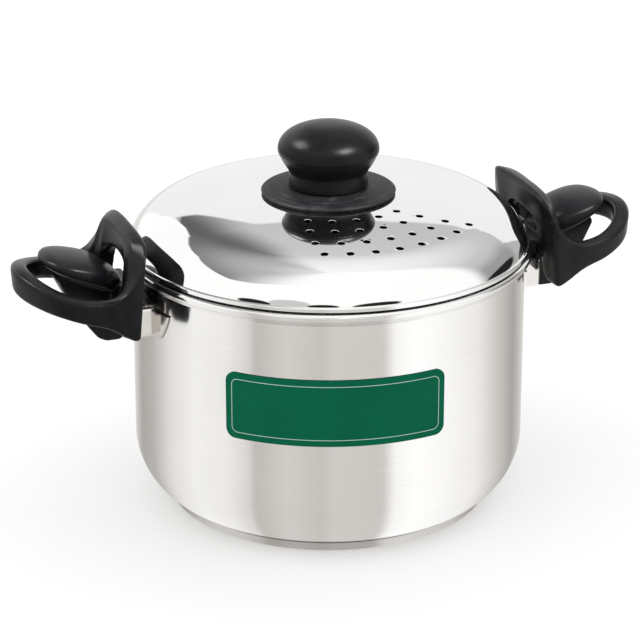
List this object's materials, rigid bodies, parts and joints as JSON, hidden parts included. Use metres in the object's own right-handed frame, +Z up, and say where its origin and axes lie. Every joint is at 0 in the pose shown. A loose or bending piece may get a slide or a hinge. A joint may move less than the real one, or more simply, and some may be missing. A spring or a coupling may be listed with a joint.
{
  "type": "strainer pot",
  "caption": "Deep round steel cooking pot with a sandwich base, a perforated domed lid with a knob, and side handles whose grip rings swing in over the lid's edge.",
  "frame": {"origin": "on the table under the pot's axis, at the middle of the base's underside", "axes": "+Z up, X along the line through the two handles, the front plate towards -Y"},
  "size_m": [0.3282, 0.2074, 0.197],
  "materials": {
    "polished_steel": "mirror-polished stainless steel",
    "aluminium": "plain pressed aluminium",
    "brass": "turned brass",
    "black_bakelite": "satin moulded bakelite",
    "green_plate": "smooth printed film, left without lettering"
  },
  "bodies": {
    "pot": {"base_cap": "polished_steel", "base_core": "aluminium", "bracket_left": "polished_steel", "bracket_nut_left": "polished_steel", "bracket_nut_right": "polished_steel", "bracket_right": "polished_steel", "front_plate": "green_plate", "grip_tongue_left": "black_bakelite", "grip_tongue_right": "black_bakelite", "handle_screw_left": "polished_steel", "handle_screw_right": "polished_steel", "pivot_pin_left": "polished_steel", "pivot_pin_right": "polished_steel", "pot_body": "polished_steel"},
    "lid": {"knob_collar": "black_bakelite", "knob_insert": "brass", "knob_screw": "polished_steel", "knob_washer": "polished_steel", "lid_knob": "black_bakelite", "lid_shell": "polished_steel"},
    "right_ring": {"grip_ring_right": "black_bakelite"},
    "left_ring": {"grip_ring_left": "black_bakelite"}
  },
  "joints": [
    {"name": "lid_lift", "type": "slide", "parent": "pot", "child": "lid", "axis": [0, 0, 1], "range_m": [0, 0.06]},
    {"name": "right_ring_hinge", "type": "hinge", "parent": "pot", "child": "right_ring", "pos_m": [0.1126, 0, 0.1239], "axis": [0, -1, 0], "range_deg": [0, 12]},
    {"name": "left_ring_hinge", "type": "hinge", "parent": "pot", "child": "left_ring", "pos_m": [-0.1126, 0, 0.1239], "axis": [0, 1, 0], "range_deg": [0, 12]}
  ]
}
